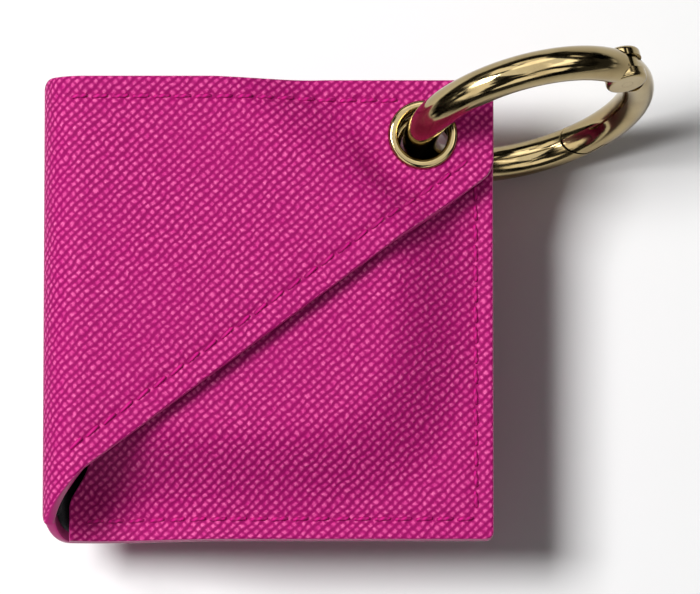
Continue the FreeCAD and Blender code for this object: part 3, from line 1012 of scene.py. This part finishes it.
class HOLDER_OT_pocket(bpy.types.Operator):
    """Models the pocket, drawn over the tag, with its turned mouth edge"""
    bl_idname = "holder.pocket"
    bl_label = "Pocket"

    def execute(self, context):
        dent = StitchDents(pocket_rows()).depth

        def place(u, v):
            y = lerp(-top, top, v)
            ear = ease((abs(y) - EAR_HIGH) / (EAR_LOW - EAR_HIGH))
            x = lerp(lerp(fold_x + MOUTH_SETBACK, ear_x, ear), right, u)
            for rising in (-1, 1):
                x, y = draw_in(x, y, (right, -rising * top), 0, rising, CORNER_RADIUS)
            return x, y, front_level(x, y) - dent(x, y), x

        item = grid_sheet("pocket_hide", COLUMNS, ROWS, place, 1)
        pierce(item, pocket_eye)
        sheet_materials(item)
        rim = self.thicken_down(item)
        round_edges(item, HIDE_EDGE, pocket_eye, rim)
        smooth(item)
        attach(item, "pouch")
        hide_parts("pocket_front")
        return {"FINISHED"}

    def thicken_down(self, item):
        """Gives the pocket its thickness straight down; returns the faces round its cut edge."""
        with editing(item):
            bpy.ops.mesh.select_all(action="SELECT")
            bpy.ops.mesh.extrude_region_move(TRANSFORM_OT_translate={"value": (0, 0, -LEATHER * MM)})
        for face in item.data.polygons:
            face.material_index = FLESH_SIDE if face.select else 0
        with editing(item):
            bpy.ops.mesh.select_all(action="SELECT")
            bpy.ops.mesh.normals_make_consistent(inside=False)
        rim = set()
        for face in item.data.polygons:
            if abs(face.normal.z) < STEEPEST_RIM:
                face.material_index = CUT_EDGE
                rim.add(face.index)
        return rim


# Form of a stitch, in shares of its half length and of its thread
THREAD_SIDES = 8
STITCH_CUTS = (-0.8, -0.45, 0.0, 0.45, 0.8)
END_SLIMMING = 0.7
FLATTENING = 0.8
END_DIP = 0.95
STITCH_SMOOTHING = 60

# How a stitch lies on the hide, in radians and millimetres
STITCH_SLANT = 0.09
SLOPE_STEP = 0.25
HIDE_THREAD_LIFT = -0.04
LINING_THREAD_LIFT = 0.1


def stitch_model():
    """One stitch: a thread that dips into its two holes, at its size about the origin."""
    deselect()
    half = sizes().stitch_length / 2
    width = sizes().thread_width / 2
    bpy.ops.mesh.primitive_cylinder_add(vertices=THREAD_SIDES, radius=width, depth=2 * half,
                                        end_fill_type="TRIFAN", rotation=(0, math.pi / 2, 0))
    item = bpy.context.object
    bpy.ops.object.transform_apply(location=False, rotation=True, scale=False)
    with editing(item):
        for share in STITCH_CUTS:
            bpy.ops.mesh.select_all(action="SELECT")
            bpy.ops.mesh.bisect(plane_co=(share * half, 0, 0), plane_no=(1, 0, 0))
    for vertex in item.data.vertices:
        gone = abs(vertex.co.x) / half
        slim = math.sqrt(max(1 - END_SLIMMING * gone ** 4, 0.0))
        vertex.co.y *= slim
        vertex.co.z = vertex.co.z * slim * FLATTENING - width * END_DIP * gone ** 3
    return item


def sew(name, rows, level, rising, material, lift):
    """Copies the stitch along its rows on a face of the hide, and joins the copies."""
    model = stitch_model()
    copies = []
    for x, y, wx, wy in rows:
        z = level(x, y) + rising * lift
        ahead = level(x + wx * SLOPE_STEP, y + wy * SLOPE_STEP)
        behind = level(x - wx * SLOPE_STEP, y - wy * SLOPE_STEP)
        tilt = math.atan2(ahead - behind, 2 * SLOPE_STEP)
        twin = model.copy()
        twin.data = model.data.copy()
        bpy.context.collection.objects.link(twin)
        heading = math.atan2(wy, wx) + STITCH_SLANT
        turn = Matrix.Rotation(heading, 4, "Z") @ Matrix.Rotation(-tilt, 4, "Y")
        if rising < 0:
            turn = turn @ Matrix.Rotation(math.pi, 4, "X")
        twin.data.transform(Matrix.Translation((x * MM, y * MM, z * MM)) @ turn)
        copies.append(twin)
    bpy.data.objects.remove(model)
    only(copies[0])
    for twin in copies:
        twin.select_set(True)
    bpy.ops.object.join()
    item = bpy.context.object
    item.name = name
    item.data.name = name
    finish_materials(item, material)
    smooth(item, STITCH_SMOOTHING)
    return item


class HOLDER_OT_stitching(bpy.types.Operator):
    """Sews the pocket to the back and the lining to the flap"""
    bl_idname = "holder.stitching"
    bl_label = "Stitching"

    def execute(self, context):
        pink = thread_material("hide_thread", tuple(colours().thread))
        dark = thread_material("lining_thread", LINING_THREAD)
        lift = HIDE_THREAD_LIFT
        front = sew("pocket_stitching", pocket_rows(), front_level, 1, pink, lift)
        back = sew("back_stitching", pocket_rows(), back_level, -1, pink, lift)
        flap = sew("flap_stitching", flap_rows(BEND_ROW), flap_top_level, 1, pink, lift)
        inner = sew("flap_lining_stitching", flap_rows(), flap_level, -1, dark, LINING_THREAD_LIFT)
        for item in (front, back):
            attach(item, "pouch")
        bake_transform(flap)
        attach(inner, "flap")
        return {"FINISHED"}


class HOLDER_OT_metal(bpy.types.Operator):
    """Plates the gate ring and the eyelets"""
    bl_idname = "holder.metal"
    bl_label = "Ring and eyelets"

    def execute(self, context):
        gold = ("ring_body", "ring_gate", "gate_pin", "pocket_eyelet", "pocket_eyelet_washer",
                "flap_eyelet", "flap_eyelet_washer")
        for name in gold:
            finish_materials(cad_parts[name], gold_material())
        for name in ("gate_plunger", "gate_spring"):
            finish_materials(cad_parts[name], steel_material())
        return {"FINISHED"}


class HOLDER_OT_tag(bpy.types.Operator):
    """Finishes the tag's shell, its battery door and what they hold"""
    bl_idname = "holder.tag"
    bl_label = "Tag"

    def execute(self, context):
        white = plastic_material("white_gloss_shell", tuple(colours().tag), rough=0.2, coat=0.3)
        dark = plastic_material("dark_tray", TRAY, rough=0.5, coat=0.0)
        green = plastic_material("board_lacquer", LACQUER, rough=0.35, coat=0.3)
        copper = metal_material("bare_copper", COPPER, rough=0.25, tarnish=0.4, scratch=0.1)
        finishes = {"tag_shell": white, "tag_inner_frame": dark, "tag_board": green,
                    "tag_speaker_magnet": steel_material(), "tag_speaker_coil": copper,
                    "tag_battery_contacts": copper, "tag_coin_cell": steel_material(),
                    "tag_battery_door": steel_material()}
        for name, material in finishes.items():
            finish_materials(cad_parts[name], material)
        return {"FINISHED"}


# The stage, in metres
FLOOR_LEVEL = cad_box[0].z - 0.7 * MM
FLOOR_SIZE = 4.0
KEY_PLACE = (-0.39, 0.12, 0.60)
KEY_SIZE = 0.26
FILL_PLACE = (0.15, 0.18, 0.62)
FILL_SIZE = 0.70
LIGHT_AIM = (0.008, 0.002, 0.006)
VIEW_WIDTH = 75 * MM
AIM_HEIGHT = 6 * MM
CLIP_START = 0.01

# Lamps in watts, the camera in degrees and millimetres
KEY_POWER = 6.25
FILL_POWER = 2.3
VIEW_ELEVATION = 84.0
LENS = 320.0
SENSOR = 36.0

# The studio's sky by height: a pale horizon, dark, a bright band, dark again overhead
HORIZON_END = 0.08
BAND_START = 0.42
BAND_FULL = 0.48
BAND_FADE = 0.88
BAND_END = 0.92
HORIZON_LIGHT = 0.55
DARK_LIGHT = 0.02
BAND_LIGHT = 1.0
BAND_TINT = (1, 0.97, 0.93)
PANEL_LIGHT = 1.9
ROOM_LIGHT = 0.09


class HOLDER_OT_stage(bpy.types.Operator):
    """Lays the floor, hangs the lights and sets the camera"""
    bl_idname = "holder.stage"
    bl_label = "Stage"

    def execute(self, context):
        self.floor()
        self.light("key_light", KEY_PLACE, KEY_SIZE, KEY_POWER)
        fill = self.light("fill_light", FILL_PLACE, FILL_SIZE, FILL_POWER)
        self.spare_floor(fill)
        self.world(context)
        self.camera(context)
        context.scene.view_settings.view_transform = "Standard"
        return {"FINISHED"}

    def floor(self):
        deselect()
        bpy.ops.mesh.primitive_plane_add(size=FLOOR_SIZE, location=(0, 0, FLOOR_LEVEL))
        item = bpy.context.object
        item.name = "floor"
        material, tree, shader = new_material("pale_floor")
        grain = noise(tree, object_place(tree), 40, 2, 0.5)
        tree.links.new(mix_colour(tree, grain, grey(0.96), grey(0.98)), shader.inputs["Base Color"])
        shader.inputs["Roughness"].default_value = 0.9
        shader.inputs["Specular IOR Level"].default_value = 0.1
        item.data.materials.append(material)

    def light(self, name, place, size, power):
        lamp = bpy.data.lights.new(name, "AREA")
        lamp.size = size
        lamp.energy = power
        item = bpy.data.objects.new(name, lamp)
        bpy.context.collection.objects.link(item)
        item.location = place
        aim = Vector(LIGHT_AIM) - Vector(place)
        item.rotation_euler = aim.to_track_quat("-Z", "Y").to_euler()
        return item

    def spare_floor(self, lamp):
        """Keeps a lamp off the floor, so that it lifts the object's shaded sides and not its shadow."""
        spared = bpy.data.collections.new("spared")
        spared.objects.link(bpy.data.objects["floor"])
        lamp.light_linking.receiver_collection = spared
        spared.collection_objects[0].light_linking.link_state = "EXCLUDE"

    def world(self, context):
        """A studio of bright and dark panels for the metal to mirror, and white behind the object."""
        world = bpy.data.worlds.new("studio")
        context.scene.world = world
        world.use_nodes = True
        tree = world.node_tree
        background = tree.nodes["Background"]
        place = node(tree, "ShaderNodeTexCoord").outputs["Generated"]
        split = node(tree, "ShaderNodeSeparateXYZ")
        tree.links.new(place, split.inputs[0])
        ramp = node(tree, "ShaderNodeValToRGB")
        stops = ramp.color_ramp
        stops.elements[0].position = 0.0
        stops.elements[0].color = grey(HORIZON_LIGHT)
        stops.elements[1].position = 1.0
        stops.elements[1].color = grey(DARK_LIGHT)
        band = {HORIZON_END: DARK_LIGHT, BAND_START: DARK_LIGHT, BAND_FULL: BAND_LIGHT,
                BAND_FADE: BAND_LIGHT, BAND_END: DARK_LIGHT}
        for position, value in band.items():
            stop = stops.elements.new(position)
            stop.color = shade(BAND_TINT, value)
        tree.links.new(split.outputs[2], ramp.inputs[0])
        cells = noise(tree, place, scale=3.2, detail=1, rough=0.4)
        panels = spread(tree, cells, 0.47, 0.52, DARK_LIGHT, PANEL_LIGHT)
        studio = mix_colour(tree, 1.0, ramp.outputs[0], panels, "MULTIPLY")
        path = node(tree, "ShaderNodeLightPath")
        dim = mix_colour(tree, path.outputs["Is Diffuse Ray"], studio, grey(ROOM_LIGHT))
        seen = mix_colour(tree, path.outputs["Is Camera Ray"], dim, grey(1))
        tree.links.new(seen, background.inputs[0])
        background.inputs[1].default_value = 1.0

    def camera(self, context):
        data = bpy.data.cameras.new("camera")
        data.lens = LENS
        data.sensor_width = SENSOR
        item = bpy.data.objects.new("camera", data)
        bpy.context.collection.objects.link(item)
        low, high = cad_box
        aim = Vector(((low.x + high.x) / 2, (low.y + high.y) / 2, AIM_HEIGHT))
        lift = math.radians(VIEW_ELEVATION)
        back = Vector((0, -math.cos(lift), math.sin(lift)))
        item.location = aim + back * (VIEW_WIDTH / 2 * LENS / (SENSOR / 2))
        item.rotation_euler = (-back).to_track_quat("-Z", "Y").to_euler()
        data.clip_start = CLIP_START
        context.scene.camera = item


class HOLDER_PT_panel(bpy.types.Panel):
    """A button for each piece, and the sizes and colours that they take"""
    bl_label = "Tracker tag holder"
    bl_idname = "HOLDER_PT_panel"
    bl_space_type = "VIEW_3D"
    bl_region_type = "UI"
    bl_category = "Holder"

    def draw(self, context):
        for operator in OPERATORS:
            self.layout.operator(operator.bl_idname)
        for values in (context.scene.holder_sizes, context.scene.holder_colours):
            for key in values.__annotations__:
                self.layout.prop(values, key)


OPERATORS = (HOLDER_OT_back_hide, HOLDER_OT_flap_hide, HOLDER_OT_lining, HOLDER_OT_pocket,
             HOLDER_OT_stitching, HOLDER_OT_metal, HOLDER_OT_tag, HOLDER_OT_stage)
CLASSES = (HolderSizes, HolderColours, *OPERATORS, HOLDER_PT_panel)


def register():
    for item in CLASSES:
        bpy.utils.register_class(item)
    bpy.types.Scene.holder_sizes = bpy.props.PointerProperty(type=HolderSizes)
    bpy.types.Scene.holder_colours = bpy.props.PointerProperty(type=HolderColours)


def unregister():
    del bpy.types.Scene.holder_colours
    del bpy.types.Scene.holder_sizes
    for item in reversed(CLASSES):
        bpy.utils.unregister_class(item)


def main():
    register()
    bpy.ops.holder.back_hide()
    bpy.ops.holder.flap_hide()
    bpy.ops.holder.lining()
    bpy.ops.holder.pocket()
    bpy.ops.holder.stitching()
    bpy.ops.holder.metal()
    bpy.ops.holder.tag()
    bpy.ops.holder.stage()


if __name__ == "__main__":
    main()
